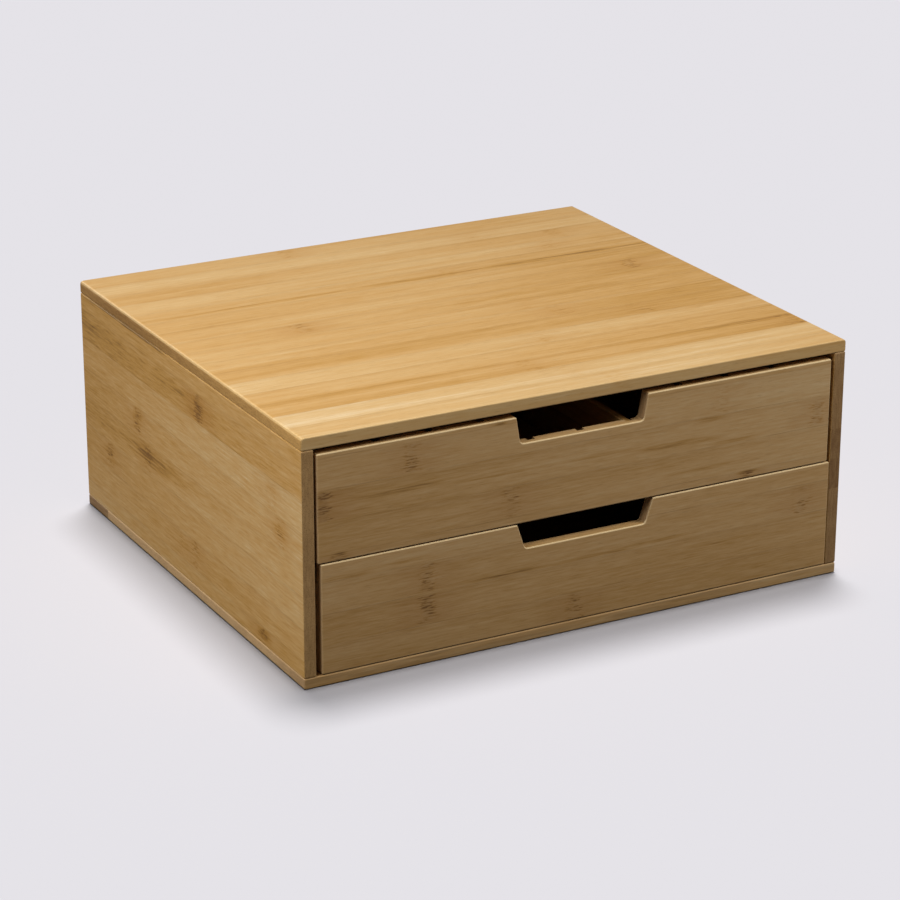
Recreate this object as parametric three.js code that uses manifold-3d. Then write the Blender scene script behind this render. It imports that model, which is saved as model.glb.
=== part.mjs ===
// A desk organizer in bamboo: a box of five boards with two drawers that slide out towards -Y.
// Millimetres, +Z up. The origin is the middle of the footprint, on the desk. +X is to the right
// of someone who faces the drawers.

import Module from 'manifold-3d';
import * as THREE from 'three';
import { mergeVertices } from 'three/addons/utils/BufferGeometryUtils.js';

const wasm = await Module();
wasm.setup();

// The case: the top and bottom boards run over the side boards' ends.
const WIDTH = 330;
const DEPTH = 293.5;
const HEIGHT = 138;
const TOP_THICK = 7;
const BOTTOM_THICK = 6;
const SIDE_THICK = 7;
const BACK_THICK = 4;
const BACK_INSET = 6; // from the rear edges to the back board
const BACK_TONGUE = 2.5; // how far the back board reaches into its neighbours

// Edges and fits.
const EASE = 0.6; // radius of a sanded arris
const THIN_EASE = 0.3; // the same on a thin board
const CORNER = 1; // radius of a board's square corner
const TOP_ROUND = 2.2; // the top board's two ends are rounded over
const GLUE_GAP = 0.15; // around whatever is glued into a groove or housing
const RUN_GAP = 0.3; // under and beside a drawer

// How finely rounded edges are stepped: arcs where they show, plain chamfers elsewhere.
const ROUNDED = { bevelSegments: 2, curveSegments: 4 };
const CHAMFERED = { bevelSegments: 1, curveSegments: 1 };
const OVERCUT = 1; // how far a cutting shape runs out past an open side

// Dowels that join the side boards to the top and the bottom.
const DOWEL_RADIUS = 2;
const DOWEL_IN_FACE = 4; // hole depth in the top or bottom board
const DOWEL_IN_END = 8; // hole depth in the side board
const DOWEL_SPOTS = [-110, 0, 110]; // along Y
const DOWEL_CHAMFER = 0.5;
const DOWEL_SIDES = 10;

// Runners that carry the upper drawer.
const RUNNER_HIGH = 6;
const RUNNER_PROUD = 8;
const RUNNER_HOUSED = 2;
const RUNNER_TOP = 71;
const RUNNER_SETBACK = 9; // behind the case's front

// What both drawers share.
const FRONT_WIDE = 312.5;
const FRONT_THICK = 7;
const WALL_THICK = 6;
const WALL_HIGH = 50;
const RABBET = 2.5; // how far the walls are let into the front
const FLOOR_THICK = 3;
const FLOOR_TONGUE = 3; // how far the floor reaches into its neighbours
const FLOOR_LIFT = 3; // from the walls' lower edges to the floor's groove
const REAR_GAP = 0.5; // the back board stops a drawer where its front is flush

// The corners of the finger cut-out in a front's upper edge.
const CUTOUT_SHOULDER = 1.2; // radius at the top
const CUTOUT_ROUND = 2.8; // radius at the floor

// Grooves and removable dividers in the upper drawer.
const BAYS = 10;
const DIVIDER_THICK = 4;
const DIVIDER_HIGH = 34.5;
const DIVIDER_BAYS = [-3, 1, 3]; // where the dividers stand, in bays from the middle
const GROOVE_WIDE = 4.6;
const GROOVE_IN_FRONT = 3.5;
const GROOVE_IN_BACK = 3;
const DIVIDER_PLAY = 0.25;

// Brads through a drawer's side walls into its back wall.
const BRAD_RADIUS = 0.7;
const BRAD_SIDES = 8;
const BRAD_LONG = 18;
const BRAD_SUNK = 0.2;
const BRAD_HEIGHTS = [13, 37]; // above the walls' lower edges

// Each drawer's own place in the case, where its front hangs on its walls, how high that front is, and its
// finger cut-out: how far this is off the middle, its width at the top and at the floor, and its depth.
const UPPER = {
  name: 'upper_drawer',
  x: -0.25,
  z: RUNNER_TOP + RUN_GAP,
  front: { low: -3, high: 59.6 },
  cutout: { middle: -1, top: 80, floor: 75, deep: 15 },
  grooved: true,
};
const LOWER = {
  name: 'lower_drawer',
  x: 1.45,
  z: BOTTOM_THICK + RUN_GAP,
  front: { low: 0.1, high: 61.2 },
  cutout: { middle: 0.2, top: 83.3, floor: 74, deep: 14.1 },
  grooved: false,
};

const HALF_WIDE = WIDTH / 2;
const HALF_DEEP = DEPTH / 2;
const INNER_HALF = HALF_WIDE - SIDE_THICK;
const TOP_Z = HEIGHT - TOP_THICK;
const BACK_FRONT_Y = HALF_DEEP - BACK_INSET - BACK_THICK;

const FINISHES = {
  top: { color: '#d7ae74', roughness: 0.45 },
  side: { color: '#b58a55', roughness: 0.5 },
  front: { color: '#a47c4c', roughness: 0.5 },
  inside: { color: '#c9a670', roughness: 0.6 },
  thin: { color: '#c2a071', roughness: 0.7 },
  dowel: { color: '#d8bd8c', roughness: 0.7 },
  steel: { color: '#b4b4b2', roughness: 0.35, metalness: 1 },
};

// ---- Shaping ----

function toSolid(geometry) {
  const bare = geometry.clone();
  bare.deleteAttribute('normal');
  bare.deleteAttribute('uv');
  const merged = mergeVertices(bare);
  return new wasm.Manifold(new wasm.Mesh({
    numProp: 3,
    vertProperties: new Float32Array(merged.attributes.position.array),
    triVerts: new Uint32Array(merged.index.array),
  }));
}

function cut(geometry, tools) {
  const solid = tools.reduce((rest, tool) => rest.subtract(toSolid(tool)), toSolid(geometry));
  const { vertProperties, triVerts } = solid.getMesh();
  const result = new THREE.BufferGeometry();
  result.setAttribute('position', new THREE.BufferAttribute(vertProperties, 3));
  result.setIndex(new THREE.BufferAttribute(triVerts, 1));
  result.computeVertexNormals();
  return result;
}

// A closed outline through corners given as [x, y, radius], each one rounded.
function outline(corners) {
  const shape = new THREE.Shape();
  corners.forEach(([x, y, radius], i) => {
    const corner = new THREE.Vector2(x, y);
    const [before, after] = [corners.at(i - 1), corners[(i + 1) % corners.length]]
      .map(([nextX, nextY]) => new THREE.Vector2(nextX, nextY).sub(corner).normalize());
    const reach = radius / Math.tan(Math.acos(before.dot(after)) / 2);
    const start = corner.clone().addScaledVector(before, reach);
    const end = corner.clone().addScaledVector(after, reach);
    shape[i === 0 ? 'moveTo' : 'lineTo'](start.x, start.y);
    shape.quadraticCurveTo(x, y, end.x, end.y);
  });
  shape.closePath();
  return shape;
}

function rectangle([left, right], [low, high], lowRadius = CORNER, highRadius = lowRadius) {
  return outline([
    [left, low, lowRadius],
    [right, low, lowRadius],
    [right, high, highRadius],
    [left, high, highRadius],
  ]);
}

// The outline extruded from start to end, with both rims eased.
function easedPrism(shape, [start, end], steps, ease = EASE) {
  const prism = new THREE.ExtrudeGeometry(shape, {
    depth: end - start - 2 * ease,
    bevelThickness: ease,
    bevelSize: ease,
    bevelOffset: -ease,
    ...steps,
  });
  return prism.translate(0, 0, start + ease);
}

// A prism drawn in X-Z runs along Y, and one drawn in Y-Z runs along X.
const prismAlongY = (shape, [front, rear], steps, ease) =>
  easedPrism(shape, [-rear, -front], steps, ease).rotateX(Math.PI / 2);
const prismAlongX = (shape, span, steps, ease) =>
  easedPrism(shape, span, steps, ease).rotateX(Math.PI / 2).rotateZ(Math.PI / 2);

// A plain box between three pairs of limits, for cutting.
function block([x0, x1], [y0, y1], [z0, z1]) {
  return new THREE.BoxGeometry(x1 - x0, y1 - y0, z1 - z0)
    .translate((x0 + x1) / 2, (y0 + y1) / 2, (z0 + z1) / 2);
}

const mirrored = (low, high) => [[-high, -low], [low, high]];

function piece(name, geometry, finish, place = [0, 0, 0]) {
  const mesh = new THREE.Mesh(geometry, new THREE.MeshStandardMaterial(FINISHES[finish]));
  mesh.name = name;
  mesh.position.set(...place);
  return mesh;
}

// ---- The case ----

// The groove around the case that holds the back board, as one slab to cut with.
const backGroove = () => block(
  [-INNER_HALF - BACK_TONGUE, INNER_HALF + BACK_TONGUE],
  [BACK_FRONT_Y - GLUE_GAP, BACK_FRONT_Y + BACK_THICK + GLUE_GAP],
  [BOTTOM_THICK - BACK_TONGUE, TOP_Z + BACK_TONGUE],
);

// Dowel holes across the joints at height jointZ. The side boards are below it if up is 1.
function dowelHoles(jointZ, up) {
  const radius = DOWEL_RADIUS + GLUE_GAP;
  const length = DOWEL_IN_END + DOWEL_IN_FACE;
  return [-1, 1].flatMap((side) => DOWEL_SPOTS.map((y) =>
    new THREE.CylinderGeometry(radius, radius, length, DOWEL_SIDES)
      .rotateX(Math.PI / 2)
      .translate(side * (HALF_WIDE - SIDE_THICK / 2), y, dowelMiddle(jointZ, up))));
}

const dowelMiddle = (jointZ, up) => jointZ + up * (DOWEL_IN_FACE - DOWEL_IN_END) / 2;

function topPanel() {
  const section = rectangle([-HALF_WIDE, HALF_WIDE], [TOP_Z, HEIGHT], CORNER, TOP_ROUND);
  const panel = prismAlongY(section, [-HALF_DEEP, HALF_DEEP], ROUNDED);
  return piece('top_panel', cut(panel, [backGroove(), ...dowelHoles(TOP_Z, 1)]), 'top');
}

function bottomPanel() {
  const section = rectangle([-HALF_WIDE, HALF_WIDE], [0, BOTTOM_THICK]);
  const panel = prismAlongY(section, [-HALF_DEEP, HALF_DEEP], ROUNDED);
  return piece('bottom_panel', cut(panel, [backGroove(), ...dowelHoles(BOTTOM_THICK, -1)]), 'side');
}

// side is -1 for the left board and 1 for the right one.
function sidePanel(name, side) {
  const span = side < 0 ? [-HALF_WIDE, -INNER_HALF] : [INNER_HALF, HALF_WIDE];
  const panel = prismAlongX(rectangle([-HALF_DEEP, HALF_DEEP], [BOTTOM_THICK, TOP_Z]), span, ROUNDED);
  const housing = block(
    [-INNER_HALF - RUNNER_HOUSED - GLUE_GAP, INNER_HALF + RUNNER_HOUSED + GLUE_GAP],
    [RUNNER_SETBACK - HALF_DEEP - GLUE_GAP, BACK_FRONT_Y],
    [RUNNER_TOP - RUNNER_HIGH - GLUE_GAP, RUNNER_TOP + GLUE_GAP],
  );
  return piece(name, cut(panel, [
    housing,
    backGroove(),
    ...dowelHoles(TOP_Z, 1),
    ...dowelHoles(BOTTOM_THICK, -1),
  ]), 'side');
}

function backPanel() {
  const reach = BACK_TONGUE - GLUE_GAP;
  const spanX = [-INNER_HALF - reach, INNER_HALF + reach];
  const face = rectangle(spanX, [BOTTOM_THICK - reach, TOP_Z + reach]);
  const board = prismAlongY(face, [BACK_FRONT_Y, BACK_FRONT_Y + BACK_THICK], CHAMFERED, THIN_EASE);
  return piece('back_panel', board, 'inside');
}

function runner(name, side) {
  const reach = [INNER_HALF - RUNNER_PROUD, INNER_HALF + RUNNER_HOUSED];
  const spanX = side < 0 ? reach.map((x) => -x).reverse() : reach;
  const section = rectangle(spanX, [RUNNER_TOP - RUNNER_HIGH, RUNNER_TOP]);
  const spanY = [RUNNER_SETBACK - HALF_DEEP, BACK_FRONT_Y - GLUE_GAP];
  return piece(name, prismAlongY(section, spanY, CHAMFERED), 'inside');
}

function dowel(name, side, y, z) {
  const half = (DOWEL_IN_END + DOWEL_IN_FACE) / 2 - GLUE_GAP;
  const profile = [
    [0, -half],
    [DOWEL_RADIUS - DOWEL_CHAMFER, -half],
    [DOWEL_RADIUS, DOWEL_CHAMFER - half],
    [DOWEL_RADIUS, half - DOWEL_CHAMFER],
    [DOWEL_RADIUS - DOWEL_CHAMFER, half],
    [0, half],
  ].map(([x, height]) => new THREE.Vector2(x, height));
  const pin = new THREE.LatheGeometry(profile, DOWEL_SIDES).rotateX(Math.PI / 2);
  return piece(name, pin, 'dowel', [side * (HALF_WIDE - SIDE_THICK / 2), y, z]);
}

function caseDowels() {
  const joints = [
    ['top_left', -1, dowelMiddle(TOP_Z, 1)],
    ['top_right', 1, dowelMiddle(TOP_Z, 1)],
    ['bottom_left', -1, dowelMiddle(BOTTOM_THICK, -1)],
    ['bottom_right', 1, dowelMiddle(BOTTOM_THICK, -1)],
  ];
  return joints.flatMap(([where, side, z]) =>
    DOWEL_SPOTS.map((y, i) => dowel(`dowel_${where}_${i + 1}`, side, y, z)));
}

// ---- The drawers, each in a frame of its own: X from the front's middle, Z from the walls' feet ----

const FRONT_Y = -HALF_DEEP;
const FRONT_REAR_Y = FRONT_Y + FRONT_THICK;
const DRAWER_REAR_Y = BACK_FRONT_Y - REAR_GAP;
const BACK_WALL_Y = DRAWER_REAR_Y - WALL_THICK;
const WALL_OUT = FRONT_WIDE / 2;
const WALL_IN = WALL_OUT - WALL_THICK;
const FLOOR_TOP = FLOOR_LIFT + GLUE_GAP + FLOOR_THICK;
const BAY_WIDE = 2 * WALL_IN / BAYS;

// The groove around a drawer that holds its floor, as one slab to cut with.
const floorGroove = () => block(
  [-WALL_IN - FLOOR_TONGUE, WALL_IN + FLOOR_TONGUE],
  [FRONT_REAR_Y - FLOOR_TONGUE, BACK_WALL_Y + FLOOR_TONGUE],
  [FLOOR_LIFT, FLOOR_TOP + GLUE_GAP],
);

// The upright grooves that take the dividers, cut into the faces at y0 to y1.
function dividerGrooves(y0, y1) {
  const grooves = [];
  for (let bay = 1 - BAYS / 2; bay < BAYS / 2; bay += 1) {
    const x = bay * BAY_WIDE;
    grooves.push(block([x - GROOVE_WIDE / 2, x + GROOVE_WIDE / 2], [y0, y1], [FLOOR_TOP, HEIGHT]));
  }
  return grooves;
}

function drawerFront({ name, front, cutout, grooved }) {
  const top = front.low + front.high;
  const bottom = top - cutout.deep;
  const face = outline([
    [-WALL_OUT, front.low, CORNER],
    [WALL_OUT, front.low, CORNER],
    [WALL_OUT, top, CORNER],
    [cutout.middle + cutout.top / 2, top, CUTOUT_SHOULDER],
    [cutout.middle + cutout.floor / 2, bottom, CUTOUT_ROUND],
    [cutout.middle - cutout.floor / 2, bottom, CUTOUT_ROUND],
    [cutout.middle - cutout.top / 2, top, CUTOUT_SHOULDER],
    [-WALL_OUT, top, CORNER],
  ]);
  const behind = FRONT_REAR_Y + OVERCUT;
  const rabbets = mirrored(WALL_IN - GLUE_GAP, WALL_OUT + OVERCUT).map((spanX) =>
    block(spanX, [FRONT_REAR_Y - RABBET - GLUE_GAP, behind], [-GLUE_GAP, WALL_HIGH + GLUE_GAP]));
  const grooves = grooved ? dividerGrooves(FRONT_REAR_Y - GROOVE_IN_FRONT, behind) : [];
  const board = prismAlongY(face, [FRONT_Y, FRONT_REAR_Y], ROUNDED);
  return piece(`${name}_front`, cut(board, [floorGroove(), ...rabbets, ...grooves]), 'front');
}

// Holes for the brads, through both side walls into the back wall's ends.
function bradHoles() {
  const radius = BRAD_RADIUS + GLUE_GAP;
  const length = BRAD_LONG + BRAD_SUNK + GLUE_GAP;
  return [-1, 1].flatMap((side) => BRAD_HEIGHTS.map((z) =>
    new THREE.CylinderGeometry(radius, radius, length + OVERCUT, BRAD_SIDES)
      .rotateZ(Math.PI / 2)
      .translate(side * (WALL_OUT + (OVERCUT - length) / 2), BACK_WALL_Y + WALL_THICK / 2, z)));
}

function sideWall({ name }, where, side) {
  const span = side < 0 ? [-WALL_OUT, -WALL_IN] : [WALL_IN, WALL_OUT];
  const face = rectangle([FRONT_REAR_Y - RABBET, DRAWER_REAR_Y], [0, WALL_HIGH]);
  const board = prismAlongX(face, span, CHAMFERED);
  return piece(`${name}_${where}_wall`, cut(board, [floorGroove(), ...bradHoles()]), 'inside');
}

function backWall({ name, grooved }) {
  const face = rectangle([-WALL_IN, WALL_IN], [0, WALL_HIGH]);
  const board = prismAlongY(face, [BACK_WALL_Y, DRAWER_REAR_Y], CHAMFERED);
  const grooves = grooved ? dividerGrooves(BACK_WALL_Y - OVERCUT, BACK_WALL_Y + GROOVE_IN_BACK) : [];
  return piece(`${name}_back_wall`, cut(board, [floorGroove(), ...grooves, ...bradHoles()]), 'inside');
}

function drawerFloor({ name }) {
  const reach = FLOOR_TONGUE - GLUE_GAP;
  const spanY = [FRONT_REAR_Y - reach, BACK_WALL_Y + reach];
  const section = rectangle([-WALL_IN - reach, WALL_IN + reach], [FLOOR_TOP - FLOOR_THICK, FLOOR_TOP]);
  return piece(`${name}_floor`, prismAlongY(section, spanY, CHAMFERED, THIN_EASE), 'thin');
}

function divider({ name }, bay, number) {
  const low = FLOOR_TOP + DIVIDER_PLAY;
  const front = FRONT_REAR_Y - GROOVE_IN_FRONT + DIVIDER_PLAY;
  const rear = BACK_WALL_Y + GROOVE_IN_BACK - DIVIDER_PLAY;
  const board = prismAlongX(
    rectangle([front, rear], [low, low + DIVIDER_HIGH]),
    [-DIVIDER_THICK / 2, DIVIDER_THICK / 2],
    CHAMFERED,
  );
  return piece(`${name}_divider_${number}`, board, 'inside', [bay * BAY_WIDE, 0, 0]);
}

function brads({ name }) {
  const middle = WALL_OUT - BRAD_SUNK - BRAD_LONG / 2;
  return [['left', -1], ['right', 1]].flatMap(([where, side]) => BRAD_HEIGHTS.map((z, i) => piece(
    `${name}_brad_${where}_${i + 1}`,
    new THREE.CylinderGeometry(BRAD_RADIUS, BRAD_RADIUS, BRAD_LONG, BRAD_SIDES).rotateZ(Math.PI / 2),
    'steel',
    [side * middle, BACK_WALL_Y + WALL_THICK / 2, z],
  )));
}

function drawer(spec) {
  const group = new THREE.Group();
  group.position.set(spec.x, 0, spec.z);
  group.add(
    drawerFront(spec),
    sideWall(spec, 'left', -1),
    sideWall(spec, 'right', 1),
    backWall(spec),
    drawerFloor(spec),
    ...brads(spec),
  );
  if (spec.grooved) group.add(...DIVIDER_BAYS.map((bay, i) => divider(spec, bay, i + 1)));
  return group;
}

const organizer = new THREE.Group();
organizer.add(
  topPanel(),
  bottomPanel(),
  sidePanel('left_side_panel', -1),
  sidePanel('right_side_panel', 1),
  backPanel(),
  runner('left_runner', -1),
  runner('right_runner', 1),
  ...caseDowels(),
  drawer(UPPER),
  drawer(LOWER),
);

export default organizer;
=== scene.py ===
"""The looks of a bamboo desk organizer: a box of five boards with two drawers.

Metres, +Z up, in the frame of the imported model. Every board is laminated from strips of bamboo, so
a board's material is told its strips one by one, and one shared node group draws the wood inside a
strip.
"""

import math
import random

import bpy
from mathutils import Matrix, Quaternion, Vector


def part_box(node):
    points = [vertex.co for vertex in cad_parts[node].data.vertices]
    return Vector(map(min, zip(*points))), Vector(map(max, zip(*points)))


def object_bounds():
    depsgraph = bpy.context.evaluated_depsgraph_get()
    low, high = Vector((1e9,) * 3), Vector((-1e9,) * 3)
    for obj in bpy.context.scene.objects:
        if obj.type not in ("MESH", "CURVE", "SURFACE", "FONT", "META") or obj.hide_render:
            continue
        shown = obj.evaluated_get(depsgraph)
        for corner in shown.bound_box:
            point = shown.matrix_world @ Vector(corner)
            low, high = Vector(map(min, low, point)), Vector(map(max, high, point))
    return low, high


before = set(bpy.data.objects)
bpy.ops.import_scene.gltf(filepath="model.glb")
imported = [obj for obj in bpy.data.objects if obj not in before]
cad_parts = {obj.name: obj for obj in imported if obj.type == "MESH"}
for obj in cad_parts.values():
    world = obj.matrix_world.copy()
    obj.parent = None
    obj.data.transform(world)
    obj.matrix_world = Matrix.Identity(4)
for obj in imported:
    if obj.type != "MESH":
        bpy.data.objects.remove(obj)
cad_low, cad_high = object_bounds()

MM = 0.001
X, Y, Z = 0, 1, 2

# ---- Camera ----
AIM = Vector((-3.5, -4.0, 55.4)) * MM
DISTANCE = 1.7464
AZIMUTH = -28.33
ELEVATION = 20.81
ROLL = 0.124
LENS = 122.76
SENSOR = 36.0

# ---- Studio ----
FLOOR_HALF = 12.0
FLOOR_COLOUR = (0.40, 0.392, 0.412)
FLOOR_BOUNCE = 0.22
SKY_COLOUR = (0.783, 0.768, 0.807)
SKY_MIRRORED = 0.35
SKY_LIGHT = 0.06

# ---- Bamboo ----
STRIP_WIDE = 17.6 * MM
TOP_STRIP_WIDE = 18.5 * MM
NO_KNOT = (0, 0)
LACQUER_IOR = 1.5
STRIP_SHIFT = 0.731  # how far the texture of one strip lies from the next one's, in metres
BOARD_SHIFT = 0.413  # the same for boards

PALETTE = {
    "brown": "#7a5624",
    "amber": "#b18440",
    "honey": "#c0965b",
    "straw": "#c9a671",
    "pale": "#d6bc92",
    "knot": "#523410",
    "ruddy": "#9a6426",
    "fleck": "#84602a",
    "end_dark": "#7d5a32",
    "end_pale": "#c09a66",
    # Paler colour of eased arrises: wear, and a painted highlight on them.
    "wear_and_highlight": "#ecd09a",
    "pore": "#4a3018",
    "beech": "#c49a6c",
    "beech_ray": "#8d5f38",
    "veneer": "#c7a06a",
    "veneer_dark": "#a57a45",
    "steel": "#b4b5b8",
    "steel_dark": "#7d7f84",
}


def rgba(name):
    """A palette colour as the linear RGBA that a node socket holds."""
    text = PALETTE[name].lstrip("#")
    parts = [int(text[i : i + 2], 16) / 255 for i in (0, 2, 4)]
    linear = [p / 12.92 if p <= 0.04045 else ((p + 0.055) / 1.055) ** 2.4 for p in parts]
    return (*linear, 1.0)


class Graph:
    """Short names for the shader nodes that the materials are made of.

    A value is a number, a tuple or a socket.
    """

    def __init__(self, tree):
        self.tree = tree

    def node(self, kind, **settings):
        made = self.tree.nodes.new("ShaderNode" + kind)
        for name, value in settings.items():
            setattr(made, name, value)
        return made

    def put(self, socket, value):
        if isinstance(value, bpy.types.NodeSocket):
            self.tree.links.new(value, socket)
        else:
            socket.default_value = value

    def math(self, operation, *values):
        made = self.node("Math", operation=operation)
        for socket, value in zip(made.inputs, values):
            self.put(socket, value)
        return made.outputs[0]

    def add(self, *values):
        total = values[0]
        for value in values[1:]:
            total = self.math("ADD", total, value)
        return total

    def less(self, value, taken):
        return self.math("SUBTRACT", value, taken)

    def times(self, *values):
        product = values[0]
        for value in values[1:]:
            product = self.math("MULTIPLY", product, value)
        return product

    def around(self, value, size):
        """A noise value as a swing of that size about zero."""
        return self.times(self.less(value, 0.5), size)

    def vector(self, x, y, z):
        made = self.node("CombineXYZ")
        for socket, value in zip(made.inputs, (x, y, z)):
            self.put(socket, value)
        return made.outputs[0]

    def vector_math(self, operation, a, b):
        made = self.node("VectorMath", operation=operation)
        self.put(made.inputs[0], a)
        self.put(made.inputs[1], b)
        return made

    def split(self, vector):
        made = self.node("SeparateXYZ")
        self.put(made.inputs[0], vector)
        return made.outputs

    def noise(self, vector, detail=2.0, roughness=0.5):
        made = self.node("TexNoise")
        self.put(made.inputs["Vector"], vector)
        made.inputs["Scale"].default_value = 1.0
        made.inputs["Detail"].default_value = detail
        made.inputs["Roughness"].default_value = roughness
        return made.outputs["Fac"]

    def step(self, value, start, end):
        """0 at start and 1 at end, smooth between; start may be the larger."""
        made = self.node("MapRange", interpolation_type="SMOOTHSTEP")
        self.put(made.inputs["Value"], value)
        if start < end:
            made.inputs["From Min"].default_value = start
            made.inputs["From Max"].default_value = end
        else:
            made.inputs["From Min"].default_value = end
            made.inputs["From Max"].default_value = start
            made.inputs["To Min"].default_value = 1.0
            made.inputs["To Max"].default_value = 0.0
        return made.outputs["Result"]

    def mix(self, share, a, b):
        made = self.node("Mix", data_type="RGBA", blend_type="MIX")
        self.put(made.inputs[0], share)
        self.put(made.inputs[6], a)
        self.put(made.inputs[7], b)
        return made.outputs[2]

    def saturated(self, share, colour):
        made = self.node("HueSaturation")
        self.put(made.inputs["Saturation"], share)
        self.put(made.inputs["Color"], colour)
        return made.outputs[0]

    def ramp(self, value, stops, interpolation="LINEAR"):
        """stops are (place, colour) pairs."""
        made = self.node("ValToRGB")
        bar = made.color_ramp
        bar.interpolation = interpolation
        while len(bar.elements) > 1:
            bar.elements.remove(bar.elements[-1])
        bar.elements[0].position, bar.elements[0].color = stops[0]
        for place, colour in stops[1:]:
            bar.elements.new(place).color = colour
        self.put(made.inputs[0], value)
        return made.outputs

    def pick(self, index, rows):
        """The four numbers of row number index, as four sockets."""
        count = len(rows)
        share = self.math("DIVIDE", self.add(index, 0.5), count)
        chosen = self.ramp(share, [(i / count, row) for i, row in enumerate(rows)], "CONSTANT")
        parts = self.node("SeparateColor")
        self.put(parts.inputs[0], chosen["Color"])
        return (*parts.outputs, chosen["Alpha"])

    def relief(self, height, strength, deep):
        made = self.node("Bump")
        made.inputs["Strength"].default_value = strength
        made.inputs["Distance"].default_value = deep
        self.put(made.inputs["Height"], height)
        return made.outputs[0]


def new_material(name, specular, metallic=0.0):
    """A material, the graph of its nodes and its shader, with the values that are the same all over."""
    material = bpy.data.materials.new(name)
    material.use_nodes = True
    shader = material.node_tree.nodes["Principled BSDF"]
    shader.inputs["Specular IOR Level"].default_value = specular
    shader.inputs["IOR"].default_value = LACQUER_IOR
    shader.inputs["Metallic"].default_value = metallic
    return material, Graph(material.node_tree), shader


def finish_surface(g, shader, colour, roughness, normal):
    g.put(shader.inputs["Base Color"], colour)
    g.put(shader.inputs["Roughness"], roughness)
    g.put(shader.inputs["Normal"], normal)


# ---- The wood inside one strip ----
STRIP_INPUTS = (
    "Along", "Across", "Depth", "Index", "Place", "Width",
    "Tone", "Contrast", "Grain", "Saturation", "Far Edge",
    "End", "End Face", "Arris", "Wear And Highlight",
    "Knot A", "Strength A", "Knot B", "Strength B", "Knot C", "Strength C",
)
STRIP_OUTPUTS = (
    ("Color", "NodeSocketColor"),
    ("Roughness", "NodeSocketFloat"),
    ("Height", "NodeSocketFloat"),
)


def along_the_grain(g, given):
    """A function that gives the coordinates for a texture drawn out along the grain, and the place across
    the grain that it uses. Both are different in each strip."""
    across = g.add(given["Across"], g.times(given["Index"], STRIP_SHIFT))

    def fibre(along_scale, cross_scale):
        return g.vector(
            g.times(given["Along"], along_scale),
            g.times(across, cross_scale),
            g.times(given["Depth"], cross_scale),
        )

    return fibre, across


def figure_of(g, fibre):
    """The swing of the tone by broad drift, long bands and long streaks, its finer swing by short streaks
    and single fibres, and the textures that other features follow."""
    drift = g.noise(fibre(6, 14), 1.0)
    figure = g.noise(fibre(3.2, 150), 3.0, 0.55)
    streak = g.noise(fibre(8, 560), 3.0, 0.6)
    short = g.noise(fibre(70, 860), 2.0, 0.6)
    threads = g.noise(fibre(48, 2400), 2.0)
    flecks = g.step(g.noise(fibre(130, 2100), 1.0), 0.60, 0.74)
    swing = g.add(g.around(drift, 0.45), g.around(figure, 0.75), g.around(streak, 0.42))
    fine = g.add(g.around(short, 0.50), g.around(threads, 0.30))
    return swing, fine, streak, threads, flecks


def knots_of(g, given, fibre):
    """A knot is a patch of dark and pale dashes across the strip, with ruddy fibres before and behind it.
    Only a strong knot has a dark vein through it as well."""
    wobble = g.around(g.noise(fibre(1, 210), 2.0), 8 * MM)
    inside = g.times(g.step(given["Place"], 0.0, 0.10), g.step(given["Place"], 1.0, 0.90))
    dash_noise = g.noise(fibre(210, 1150), 2.0)
    dashes = g.less(g.times(g.step(dash_noise, 0.52, 0.40), 0.30), g.step(dash_noise, 0.48, 0.66))
    patches = g.step(g.noise(fibre(60, 220), 1.0), 0.30, 0.58)

    def knot(place, strength):
        gap = g.math("ABSOLUTE", g.add(g.less(given["Along"], place), wobble))
        patch = g.times(g.step(gap, 8 * MM, 2 * MM), inside, strength)
        vein = g.times(g.step(gap, 4.2 * MM, 0.8 * MM), inside, strength, strength, strength)
        smear = g.times(g.step(gap, 30 * MM, 3 * MM), strength, inside)
        return patch, vein, smear

    knots = [knot(given["Knot " + which], given["Strength " + which]) for which in "ABC"]
    patch, vein, smear = (g.math("MAXIMUM", g.math("MAXIMUM", a, b), c) for a, b, c in zip(*knots))
    patch = g.times(patch, patches)
    vein = g.times(vein, g.add(0.30, g.times(patches, 0.70)))
    return dashes, patch, vein, smear


def edges_of(g, given, fibre, streak):
    """The glue line between two strips, and the darker wood along a strip's far edge."""
    to_edge = g.times(g.math("MINIMUM", given["Place"], g.less(1.0, given["Place"])), given["Width"])
    ragged = g.step(g.noise(fibre(26, 300), 1.0), 0.42, 0.62)
    seam = g.times(g.step(to_edge, 0.5 * MM, 0.05 * MM), ragged)
    towards_far = g.step(g.add(given["Place"], g.around(streak, 0.16)), 0.72, 0.97)
    return seam, g.times(towards_far, given["Far Edge"])


def end_grain(g, given, fibre, across):
    """The colour of sawn ends: dark dots of the vessels, in bands that follow the culm's wall."""
    pores = g.node("TexVoronoi", feature="F1")
    g.put(pores.inputs["Vector"], fibre(0, 1500))
    pores.inputs["Scale"].default_value = 1.0
    dots = g.step(pores.outputs["Distance"], 0.42, 0.20)
    bark = g.noise(g.vector(0.0, g.times(across, 120), g.times(given["Depth"], 900)), 2.0)
    end = g.mix(g.add(given["End"], g.around(bark, 0.8)), rgba("end_dark"), rgba("end_pale"))
    return g.mix(g.times(dots, 0.40), end, rgba("pore")), dots


def empty_strip_group():
    """A node group with a strip's inputs and outputs, and nothing between them yet."""
    tree = bpy.data.node_groups.new("bamboo_strip", "ShaderNodeTree")
    for name in STRIP_INPUTS:
        tree.interface.new_socket(name, in_out="INPUT", socket_type="NodeSocketFloat")
    for name, kind in STRIP_OUTPUTS:
        tree.interface.new_socket(name, in_out="OUTPUT", socket_type=kind)
    return tree


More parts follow.
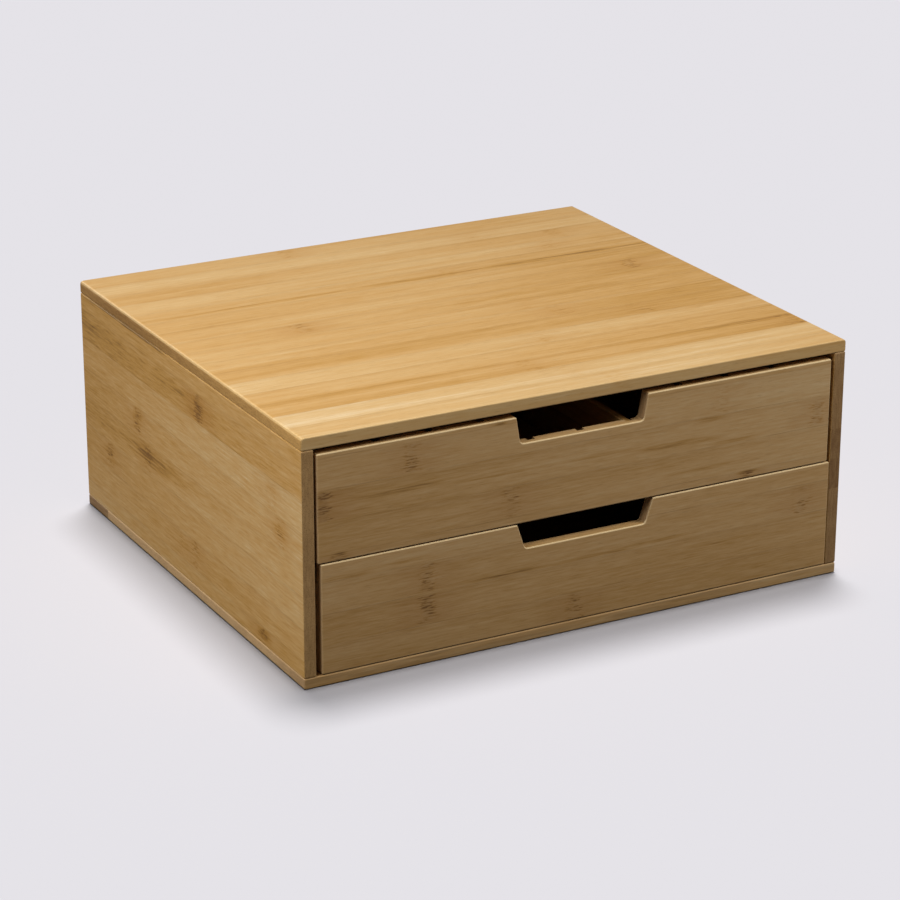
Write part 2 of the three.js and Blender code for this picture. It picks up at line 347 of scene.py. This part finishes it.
def strip_group():
    """A node group with the colour, roughness and height of bamboo, from a point's place in its strip."""
    tree = empty_strip_group()
    g = Graph(tree)
    given = tree.nodes.new("NodeGroupInput").outputs

    fibre, across = along_the_grain(g, given)
    swing, fine, streak, threads, flecks = figure_of(g, fibre)
    dashes, patch, vein, smear = knots_of(g, given, fibre)
    seam, shade = edges_of(g, given, fibre, streak)
    end, dots = end_grain(g, given, fibre, across)
    end_face = g.step(given["End Face"], 0.45, 0.75)

    tone = g.add(given["Tone"], g.times(swing, given["Contrast"]), g.times(fine, given["Grain"]))
    tone = g.add(tone, g.times(dashes, patch, 0.75), g.times(patch, -0.12))
    wood = g.ramp(tone, [
        (0.0, rgba("brown")), (0.28, rgba("amber")), (0.52, rgba("honey")),
        (0.76, rgba("straw")), (1.0, rgba("pale")),
    ])["Color"]
    wood = g.mix(g.times(flecks, 0.26), wood, rgba("fleck"))
    wood = g.mix(g.times(smear, 0.34), wood, rgba("ruddy"))
    wood = g.mix(g.times(vein, 0.60), wood, rgba("knot"))
    wood = g.mix(g.times(seam, 0.28), wood, rgba("brown"))
    wood = g.mix(g.times(shade, 0.7), wood, rgba("brown"))
    wood = g.mix(end_face, wood, end)
    # Eased arrises are painted paler: partly sanding wear, more so where hands rub along them, and partly a
    # painted highlight where the light catches them.
    wear_and_highlight = g.times(given["Arris"], given["Wear And Highlight"], g.step(streak, 0.20, 0.45))
    wood = g.saturated(given["Saturation"], g.mix(wear_and_highlight, wood, rgba("wear_and_highlight")))

    roughness = g.add(0.44, g.around(threads, 0.20), g.times(patch, 0.10), g.times(end_face, 0.14))
    height = g.add(
        g.times(threads, 0.5),
        g.times(streak, 0.3),
        g.times(flecks, -0.35),
        g.times(seam, -1.0),
        g.times(dashes, patch, 0.8),
        g.times(vein, -0.8),
        g.times(end_face, dots, -0.6),
    )
    out = tree.nodes.new("NodeGroupOutput")
    for (name, _), value in zip(STRIP_OUTPUTS, (wood, roughness, height)):
        tree.links.new(value, out.inputs[name])
    return tree


STRIP_GROUP = strip_group()


# ---- Boards ----
def strip(tone, *knots, lean=0.0, far=0.1, end=0.5):
    """One strip of a board: its tone from 0, dark, to 1, pale; its knots as (mm along the grain, strength);
    how much paler its far end is than its near end, which on the left side board and the upper drawer front
    is painted light falling off along the board; how dark its far edge is; and its end grain's tone."""
    three_knots = [*knots, NO_KNOT, NO_KNOT, NO_KNOT][:3]
    return {"tone": tone, "lean": lean, "far": far, "end": end, "knots": three_knots}


def any_strips(seed, count, tone=0.5, spread=0.15):
    """Strips for a board that nothing more is known about."""
    draw = random.Random(seed)
    return [
        strip(
            tone + draw.uniform(-spread, spread),
            (draw.uniform(10, 290), draw.choice((0.0, 0.25, 0.5))),
            far=draw.uniform(0.0, 0.3),
            end=draw.uniform(0.25, 0.7),
        )
        for _ in range(count)
    ]


def board_frame(g, node, along_axis, across_axis):
    """Coordinates on a board, along its grain, across it and into its thickness, from its low corner; and
    the three axes in that order."""
    low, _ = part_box(node)
    point = g.split(g.node("TexCoord").outputs["Object"])
    axes = (along_axis, across_axis, X + Y + Z - along_axis - across_axis)
    return [g.less(point[axis], low[axis]) for axis in axes], axes


def arris(g, node, places, axes):
    """How much an eased edge shows. Edges are the small slanting faces round the board's broad sides,
    cut-outs and all, and the places where the second smallest gap to the board's sides is small. Those
    that face up show most, as a painted highlight of the light from above on them."""
    low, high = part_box(node)
    gaps = []
    for place, axis in zip(places, axes):
        size = high[axis] - low[axis]
        gaps.append(g.math("MINIMUM", place, g.less(size, place)))
    a, b, c = gaps
    second = g.math("MAXIMUM", g.math("MINIMUM", a, b), g.math("MINIMUM", g.math("MAXIMUM", a, b), c))
    facing = g.split(g.node("NewGeometry").outputs["True Normal"])
    slant = g.math("ABSOLUTE", facing[axes[-1]])
    eased = g.times(g.step(slant, 0.12, 0.30), g.step(slant, 0.985, 0.92))
    edge = g.math("MAXIMUM", g.times(g.step(second, 1.1 * MM, 0.3 * MM), 0.6), eased)
    # Upward-facing edges count most: a painted highlight of the light from above.
    return g.times(edge, g.add(0.2, g.times(g.step(facing[Z], 0.05, 0.50), 0.8)))


def shade_of(g, along, across, marks):
    """The sum of a board's long fibrous marks, each (along, across, half length, half width, strength)
    in mm from the board's low corner. A mark of negative strength is pale. A mark as wide as the board is
    painted shade, not a mark of the wood."""
    ragged = g.noise(g.vector(g.times(along, 12), g.times(across, 90), 0.0), 2.0)
    point = g.vector(along, g.add(across, g.around(ragged, 2.8 * MM)), 0.0)
    fibres = g.step(g.noise(g.vector(g.times(along, 26), g.times(across, 700), 0.0), 2.0), 0.30, 0.62)
    total = 0.0
    for x, y, long, wide, strength in marks:
        from_middle = g.vector_math("SUBTRACT", point, (x * MM, y * MM, 0.0)).outputs[0]
        scaled = g.vector_math("MULTIPLY", from_middle, (1 / (long * MM), 1 / (wide * MM), 0.0)).outputs[0]
        length = g.node("VectorMath", operation="LENGTH")
        g.put(length.inputs[0], scaled)
        total = g.add(g.times(g.step(length.outputs["Value"], 1.0, 0.1), strength), total)
    return g.times(total, g.add(0.35, g.times(fibres, 0.75)))


def knot_values(g, strips, index):
    """The places and strengths of the three knots of strip number index, by the names of their sockets."""
    places = g.pick(index, [(*(place * MM for place, _ in s["knots"]), 1.0) for s in strips])
    strengths = g.pick(index, [(*(strength for _, strength in s["knots"]), 1.0) for s in strips])
    values = {}
    for which, place, strength in zip("ABC", places, strengths):
        values["Knot " + which] = place
        values["Strength " + which] = strength
    return values


def wood_of(g, values):
    """The colour, roughness and height that the strip group makes of those values."""
    wood = g.node("Group")
    wood.node_tree = STRIP_GROUP
    for name, value in values.items():
        g.put(wood.inputs[name], value)
    return [wood.outputs[name] for name, _ in STRIP_OUTPUTS]


def board_material(
    node, along_axis, across_axis, strips, wide=STRIP_WIDE, first=0.0,
    contrast=1.0, grain=1.0, saturation=1.0, wear_and_highlight=0.25, warm_ends=0.0, marks=(),
):
    """The material of one board. Its strips run along one axis and lie side by side along the other, the
    first of them starting at first, in metres from the board's low edge. contrast is for its bands and
    streaks and grain for its fibres. warm_ends is how much more saturated its sawn ends are."""
    low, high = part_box(node)
    material, g, shader = new_material("bamboo_" + node, 0.4)
    (along, over, deep), axes = board_frame(g, node, along_axis, across_axis)
    ratio = g.math("DIVIDE", g.less(over, first), wide)
    last = len(strips) - 1.0
    index = g.math("MINIMUM", g.math("MAXIMUM", g.math("FLOOR", ratio), 0.0), last)

    # A picked number lies between 0 and 1, so the lean goes in halved and moved up.
    shades = [(s["tone"], s["lean"] / 2 + 0.5, s["far"], s["end"]) for s in strips]
    tone, lean, far, end = g.pick(index, shades)
    from_middle = g.less(g.math("DIVIDE", along, high[along_axis] - low[along_axis]), 0.5)
    # The lean makes a strip paler towards one end; on the left side board and the upper front this is
    # painted light falling off along the board.
    tone = g.add(tone, g.times(g.less(lean, 0.5), from_middle, 2.0))
    if marks:
        tone = g.less(tone, shade_of(g, along, over, marks))

    facing = g.split(g.node("NewGeometry").outputs["Normal"])
    sawn = g.math("ABSOLUTE", facing[along_axis])
    seed = sum(map(ord, node)) % 97
    values = {
        "Along": along,
        "Across": g.add(over, seed * BOARD_SHIFT),
        "Depth": deep,
        "Index": index,
        "Place": g.math("FRACT", ratio),
        "Width": wide,
        "Tone": tone,
        "Contrast": contrast,
        "Grain": grain,
        "Saturation": g.add(saturation, g.times(sawn, warm_ends)),
        "Far Edge": far,
        "End": end,
        "End Face": sawn,
        "Arris": arris(g, node, (along, over, deep), axes),
        "Wear And Highlight": wear_and_highlight,
        **knot_values(g, strips, index),
    }
    colour, roughness, height = wood_of(g, values)
    finish_surface(g, shader, colour, roughness, g.relief(height, 0.35, 0.08 * MM))
    return material


# From the front edge to the back, with knots from the left end.
TOP_STRIPS = [
    strip(0.70, (187, 0.15), end=0.75),
    strip(0.80, (170, 0.15), lean=-0.2, end=0.75),
    strip(0.50, (155, 0.3), (322, 0.4), lean=-0.1, end=0.65),
    strip(0.55, end=0.6),
    strip(0.73, (185, 0.25), lean=-0.1, end=0.6),
    strip(0.54, (260, 0.25), end=0.55),
    strip(0.54, (218, 0.35), end=0.5),
    strip(0.61, (203, 0.15), end=0.45),
    strip(0.58, (77, 0.55), end=0.4),
    strip(0.57, (299, 0.5), end=0.35),
    strip(0.52, end=0.3),
    strip(0.59, (195, 0.15), end=0.25),
    strip(0.66, (275, 0.3), end=0.2),
    strip(0.61, (290, 0.3), lean=0.1, end=0.2),
    strip(0.69, (241, 0.2), end=0.25),
    strip(0.62, (128, 0.35), lean=0.1, end=0.3),
]
# Long fibrous marks, as shade_of takes them. The last, far wider than a mark of the wood, is painted shade
# that darkens the top towards its right end, where the light falls off.
TOP_MARKS = [
    (165, 205, 420, 5.0, 0.20),
    (165, 205.5, 420, 2.6, 0.20),
    (190, 154, 90, 6.0, 0.20),
    (215, 146, 120, 6.0, 0.12),
    (30, 110.5, 70, 4.0, 0.18),
    (150, 106, 80, 5.0, 0.14),
    (165, 98, 220, 6.0, 0.10),
    (60, 122, 70, 2.5, -0.20),
    (60, 53, 120, 4.0, 0.16),
    (265, 51, 120, 5.0, 0.16),
    (60, 240, 70, 6.0, 0.15),
    # Painted shade over the right end of the top, where the light falls off.
    (330, 150, 200, 260, 0.15),
]

# From the side board's lower edge up, with knots from the front. The leans paint shade towards the board's
# back end, where the light falls off.
LEFT_STRIPS = [
    strip(0.52, (50, 0.5), lean=0.12, end=0.6),
    strip(0.49, (136, 0.4), (156, 0.2), lean=-0.1, end=0.55),
    strip(0.50, (256, 0.4), lean=-0.24, end=0.65),
    strip(0.49, (200, 0.35), lean=-0.26, end=0.55),
    strip(0.50, (213, 0.45), (26, 0.4), lean=-0.26, end=0.55),
    strip(0.60, (36, 0.3), lean=-0.26, end=0.65),
    strip(0.36, (127, 0.85), lean=-0.28, end=0.6),
    strip(0.40, lean=-0.1, end=0.55),
]
LEFT_MARKS = [
    (188, 55, 60, 10.0, 0.22),
    (200, 56, 16, 9.0, 0.14),
    (150, 108, 60, 3.0, 0.12),
    (126, 106, 18, 8.0, 0.14),
    (213, 73, 9, 9.0, 0.24),
    (256, 38, 9, 9.0, 0.20),
    (26, 72, 13, 8.0, 0.26),
    (48, 6, 13, 5.0, 0.28),
    (225, 124.6, 90, 1.6, 0.55),
]

RIGHT_STRIPS = [
    strip(0.44, (210, 0.4), end=0.3),
    strip(0.50, (70, 0.5), end=0.3),
    strip(0.42, (180, 0.3), end=0.3),
    strip(0.55, (25, 0.5), (250, 0.3), end=0.1),
    strip(0.46, (120, 0.6), end=0.15),
    strip(0.52, (235, 0.4), end=0.3),
    strip(0.40, (90, 0.3), end=0.3),
    strip(0.48, end=0.35),
]

# From a drawer front's lower edge up, with knots from its left end. The upper front's leans paint it
# lighter towards its right end, where more light falls.
UPPER_FRONT_STRIPS = [
    strip(0.50, (12.5, 0.5), (258.5, 0.6), lean=0.10),
    strip(0.48, (112.5, 0.45), lean=0.15),
    strip(0.51, (3.5, 0.75), (304.5, 0.5), lean=0.24),
    strip(0.57, (54.5, 0.5), (241.5, 0.2), lean=0.18),
    strip(0.50, (103.5, 0.5)),
]
UPPER_FRONT_MARKS = [
    (52, 32, 46, 2.2, 0.30),
    (105, 30.3, 40, 1.8, 0.26),
    (168, 30, 34, 2.0, 0.24),
    (213, 27.3, 38, 2.4, 0.34),
    (251, 23.3, 22, 2.0, 0.38),
    (235, 38, 15, 2.0, 0.30),
    (235, 10.5, 42, 1.8, 0.30),
    (200, 16, 60, 3.0, 0.10),
    (13, 3, 7, 1.8, 0.40),
    (260, 3.2, 10, 2.0, 0.45),
    (106, 58, 6, 1.4, 0.35),
]
LOWER_FRONT_STRIPS = [
    strip(0.46, (150, 0.5)),
    strip(0.45, (61, 0.6), lean=0.05),
    strip(0.51, (61, 0.5), (295, 0.5)),
    strip(0.52),
]
LOWER_FRONT_MARKS = [
    (16, 52.5, 24, 2.2, 0.26),
    (50, 54, 24, 2.0, 0.18),
    (106, 35.2, 38, 1.8, 0.32),
    (165, 34.8, 46, 1.8, 0.28),
    (205, 35.5, 32, 1.8, 0.24),
    (243, 27.5, 34, 1.8, 0.24),
    (100, 12, 70, 2.0, 0.12),
]

# From the front edge to the back, with knots from the left end.
BOTTOM_STRIPS = [
    strip(0.54, lean=0.2, end=0.6), strip(0.55, (60, 0.4), end=0.8), strip(0.48, end=1.0),
    strip(0.52, (210, 0.5), end=1.0), strip(0.44, end=0.9), strip(0.58, (120, 0.3), end=1.0),
    strip(0.50, end=1.0), strip(0.46, (280, 0.5), end=0.9), strip(0.56, end=1.0),
    strip(0.50, (90, 0.4), end=1.0), strip(0.42, end=0.9), strip(0.54, (240, 0.3), end=1.0),
    strip(0.50, end=1.0), strip(0.47, (30, 0.5), end=1.0), strip(0.53, end=1.0),
    strip(0.50, (170, 0.4), end=0.2), strip(0.50, end=0.2),
]


def paint(node, material):
    """Gives a CAD node its material, with smooth rounded edges between its flat faces."""
    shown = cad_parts[node]
    shown.data.materials.clear()
    shown.data.materials.append(material)
    for face in shown.data.polygons:
        face.use_smooth = True
    smooth = shown.modifiers.new("soft_edges", "WEIGHTED_NORMAL")
    smooth.keep_sharp = True
    smooth.weight = 100


def paint_case():
    top_first = cad_high.y - cad_low.y - len(TOP_STRIPS) * TOP_STRIP_WIDE
    paint("top_panel", board_material(
        "top_panel", X, Y, TOP_STRIPS, TOP_STRIP_WIDE, top_first, contrast=0.7, grain=0.75, saturation=1.02,
        warm_ends=0.10, marks=TOP_MARKS))
    side_first = -7.5 * MM
    paint("left_side_panel", board_material(
        "left_side_panel", Y, Z, LEFT_STRIPS, first=side_first, contrast=0.5, grain=1.6, saturation=1.025,
        wear_and_highlight=0.1, marks=LEFT_MARKS))
    paint("right_side_panel", board_material(
        "right_side_panel", Y, Z, RIGHT_STRIPS, first=side_first, contrast=0.5, grain=1.6, wear_and_highlight=0.1))
    paint("bottom_panel", board_material(
        "bottom_panel", X, Y, BOTTOM_STRIPS, contrast=0.8, saturation=0.94, wear_and_highlight=0.05))
    paint("back_panel", board_material("back_panel", X, Z, any_strips(5, 8), contrast=0.8))
    for seed, side in enumerate(("left", "right")):
        node = side + "_runner"
        paint(node, board_material(node, Y, Z, any_strips(20 + seed, 1)))


def paint_fronts():
    fronts = {
        "upper": (UPPER_FRONT_STRIPS, UPPER_FRONT_MARKS, -13.4 * MM),
        "lower": (LOWER_FRONT_STRIPS, LOWER_FRONT_MARKS, -2.0 * MM),
    }
    for which, (strips, marks, first) in fronts.items():
        node = which + "_drawer_front"
        # The fronts' arrises get the strongest paler edge: wear and a painted highlight of the light on
        # them.
        paint(node, board_material(
            node, X, Z, strips, first=first,
            contrast=0.5, grain=1.1, saturation=0.945, wear_and_highlight=0.9, marks=marks))


def paint_drawer_insides():
    for seed, drawer in enumerate(("upper_drawer", "lower_drawer")):
        for place, grain in (("left_wall", Y), ("right_wall", Y), ("back_wall", X)):
            node = f"{drawer}_{place}"
            strips = any_strips(30 + 10 * seed + len(place), 3, tone=0.6)
            paint(node, board_material(node, grain, Z, strips, contrast=0.7))
        paint(drawer + "_floor", veneer_material(drawer + "_floor"))
    for number in (1, 2, 3):
        node = f"upper_drawer_divider_{number}"
        paint(node, board_material(node, Y, Z, any_strips(60 + number, 2, tone=0.45), contrast=0.7))


def veneer_material(node):
    """Thin sheet faced with rotary-cut bamboo: wide wavy figure with fine dark fibres in it."""
    material, g, shader = new_material("veneer_" + node, 0.35)
    (along, over, deep), _ = board_frame(g, node, X, Y)
    bend = g.noise(g.vector(g.times(along, 9), g.times(over, 22), 0.0), 2.0)
    bent = g.add(over, g.around(bend, 30 * MM))
    figure = g.noise(g.vector(g.times(along, 4), g.times(bent, 120), 0.0), 3.0)
    threads = g.noise(g.vector(g.times(along, 60), g.times(over, 2300), g.times(deep, 2300)), 2.0)
    flecks = g.step(g.noise(g.vector(g.times(along, 170), g.times(over, 1900), 0.0), 1.0), 0.60, 0.72)
    tone = g.add(0.5, g.around(figure, 1.3), g.around(threads, 0.3))
    colour = g.mix(tone, rgba("veneer_dark"), rgba("veneer"))
    colour = g.mix(g.times(flecks, 0.35), colour, rgba("fleck"))
    height = g.add(g.times(threads, 0.5), g.times(flecks, -0.5))
    finish_surface(g, shader, colour, g.add(0.52, g.around(threads, 0.2)), g.relief(height, 0.3, 0.06 * MM))
    return material


def dowel_material():
    """Beech rod: fine fibres along Z with short darker rays, and rings on its sawn ends."""
    material, g, shader = new_material("beech_dowel", 0.3)
    x, y, z = g.split(g.node("TexCoord").outputs["Object"])
    threads = g.noise(g.vector(g.times(x, 2600), g.times(y, 2600), g.times(z, 80)), 2.0)
    rays = g.step(g.noise(g.vector(g.times(x, 1500), g.times(y, 1500), g.times(z, 420)), 1.0), 0.60, 0.72)
    rings = g.noise(g.vector(g.times(x, 900), g.times(y, 160), 0.0), 2.0)
    colour = g.mix(g.add(g.times(rays, 0.5), g.around(rings, 0.5)), rgba("beech"), rgba("beech_ray"))
    height = g.add(threads, g.times(rays, -0.5))
    finish_surface(g, shader, colour, g.add(0.6, g.around(threads, 0.2)), g.relief(height, 0.4, 0.05 * MM))
    return material


def brad_material():
    """Bright steel wire, drawn along its length, slightly dulled in patches."""
    material, g, shader = new_material("brad_steel", 0.5, metallic=1.0)
    x, y, z = g.split(g.node("TexCoord").outputs["Object"])
    drawn = g.noise(g.vector(g.times(x, 120), g.times(y, 6000), g.times(z, 6000)), 2.0)
    dull = g.noise(g.vector(g.times(x, 700), g.times(y, 700), g.times(z, 700)), 2.0)
    colour = g.mix(g.step(dull, 0.40, 0.70), rgba("steel"), rgba("steel_dark"))
    roughness = g.add(0.30, g.around(drawn, 0.15), g.times(g.step(dull, 0.40, 0.70), 0.15))
    finish_surface(g, shader, colour, roughness, g.relief(drawn, 0.25, 0.02 * MM))
    return material


def paint_fastenings():
    materials = {"dowel": dowel_material(), "brad": brad_material()}
    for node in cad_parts:
        for kind, material in materials.items():
            if kind in node:
                paint(node, material)


paint_case()
paint_fronts()
paint_drawer_insides()
paint_fastenings()


# ---- Camera, floor and lights ----
def make_camera():
    across, up = math.radians(AZIMUTH), math.radians(ELEVATION)
    back = Vector((math.sin(across) * math.cos(up), -math.cos(across) * math.cos(up), math.sin(up)))
    data = bpy.data.cameras.new("camera")
    data.lens = LENS
    data.sensor_width = SENSOR
    data.clip_start = 0.05
    data.clip_end = 60
    camera = bpy.data.objects.new("camera", data)
    camera.location = AIM + back * DISTANCE
    camera.rotation_mode = "QUATERNION"
    roll = Quaternion((0, 0, 1), math.radians(ROLL))
    camera.rotation_quaternion = (-back).to_track_quat("-Z", "Y") @ roll
    bpy.context.scene.collection.objects.link(camera)
    bpy.context.scene.camera = camera


def make_floor():
    """A pale floor, which throws only a little light back on to the object."""
    mesh = bpy.data.meshes.new("floor")
    h = FLOOR_HALF
    mesh.from_pydata([(-h, -h, 0), (h, -h, 0), (h, h, 0), (-h, h, 0)], [], [(0, 1, 2, 3)])
    floor = bpy.data.objects.new("floor", mesh)
    floor.location.z = cad_low.z - 0.1 * MM
    bpy.context.scene.collection.objects.link(floor)
    material, g, shader = new_material("floor", 0.0)
    seen = g.node("LightPath").outputs["Is Camera Ray"]
    thrown_back = tuple(part * FLOOR_BOUNCE for part in FLOOR_COLOUR)
    g.put(shader.inputs["Base Color"], g.mix(seen, (*thrown_back, 1), (*FLOOR_COLOUR, 1)))
    shader.inputs["Roughness"].default_value = 1.0
    floor.data.materials.append(material)
    return floor


def make_sky():
    """A backdrop as pale as the floor. It is dimmer in reflections, and lights the object only faintly."""
    world = bpy.data.worlds.new("studio")
    world.use_nodes = True
    world.cycles.sampling_method = "NONE"
    g = Graph(world.node_tree)
    background = world.node_tree.nodes["Background"]
    background.inputs["Color"].default_value = (*SKY_COLOUR, 1)
    path = g.node("LightPath").outputs
    mirrored = g.times(path["Is Glossy Ray"], SKY_MIRRORED)
    shown = g.math("MAXIMUM", path["Is Camera Ray"], mirrored)
    g.put(background.inputs["Strength"], g.math("MAXIMUM", shown, SKY_LIGHT))
    bpy.context.scene.world = world


def group(name, objects):
    """A collection that says what a light shines on, or what casts its shadows."""
    chosen = bpy.data.collections.new(name)
    for one in objects:
        chosen.objects.link(one)
    return chosen


def place_light(data, towards, shines_on, shadows=None):
    lamp = bpy.data.objects.new(data.name, data)
    lamp.rotation_mode = "QUATERNION"
    lamp.rotation_quaternion = Vector(towards).to_track_quat("Z", "Y")
    bpy.context.scene.collection.objects.link(lamp)
    lamp.light_linking.receiver_collection = shines_on
    lamp.light_linking.blocker_collection = shadows
    return lamp


def make_softbox(name, place, aim, size, power):
    """A square soft light on the object alone, which leaves the floor even."""
    data = bpy.data.lights.new(name, "AREA")
    data.size = size
    data.energy = power
    lamp = place_light(data, Vector(place) - Vector(aim), OBJECT_ONLY)
    lamp.location = place


def make_floor_light(name, strength, angle, towards, shadows=None):
    """An even light on the floor alone, from far away."""
    data = bpy.data.lights.new(name, "SUN")
    data.energy = strength
    data.angle = math.radians(angle)
    place_light(data, towards, FLOOR_ONLY, shadows)


# Name, place, what it aims at, side and power, in metres and watts.
SOFTBOXES = (
    ("left", (-0.80, -0.25, 0.70), (-0.1, 0, 0.08), 0.5, 6.8),
    ("above", (-0.3, 0.1, 0.9), (0, 0, 0.138), 0.6, 3.8),
    ("front", (0.7, -0.6, 0.9), (0.1, -0.1, 0.1), 0.5, 8.7),
    ("behind", (-0.3, 1.1, 0.35), (0, 0.147, 0.07), 0.6, 3.5),
    ("right", (1.1, 0.15, 0.35), (0.165, 0, 0.07), 0.6, 3.0),
)

make_camera()
FLOOR_ONLY = group("floor_only", [make_floor()])
OBJECT_ONLY = group("object_only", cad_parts.values())
NOTHING = group("nothing", [])
make_sky()
make_floor_light("floor_key", 3.73, 17, (0.125, 0.214, 1))
make_floor_light("floor_fill", 2.37, 5, (0, 0, 1), NOTHING)
for softbox in SOFTBOXES:
    make_softbox(*softbox)
bpy.context.scene.view_settings.view_transform = "Standard"
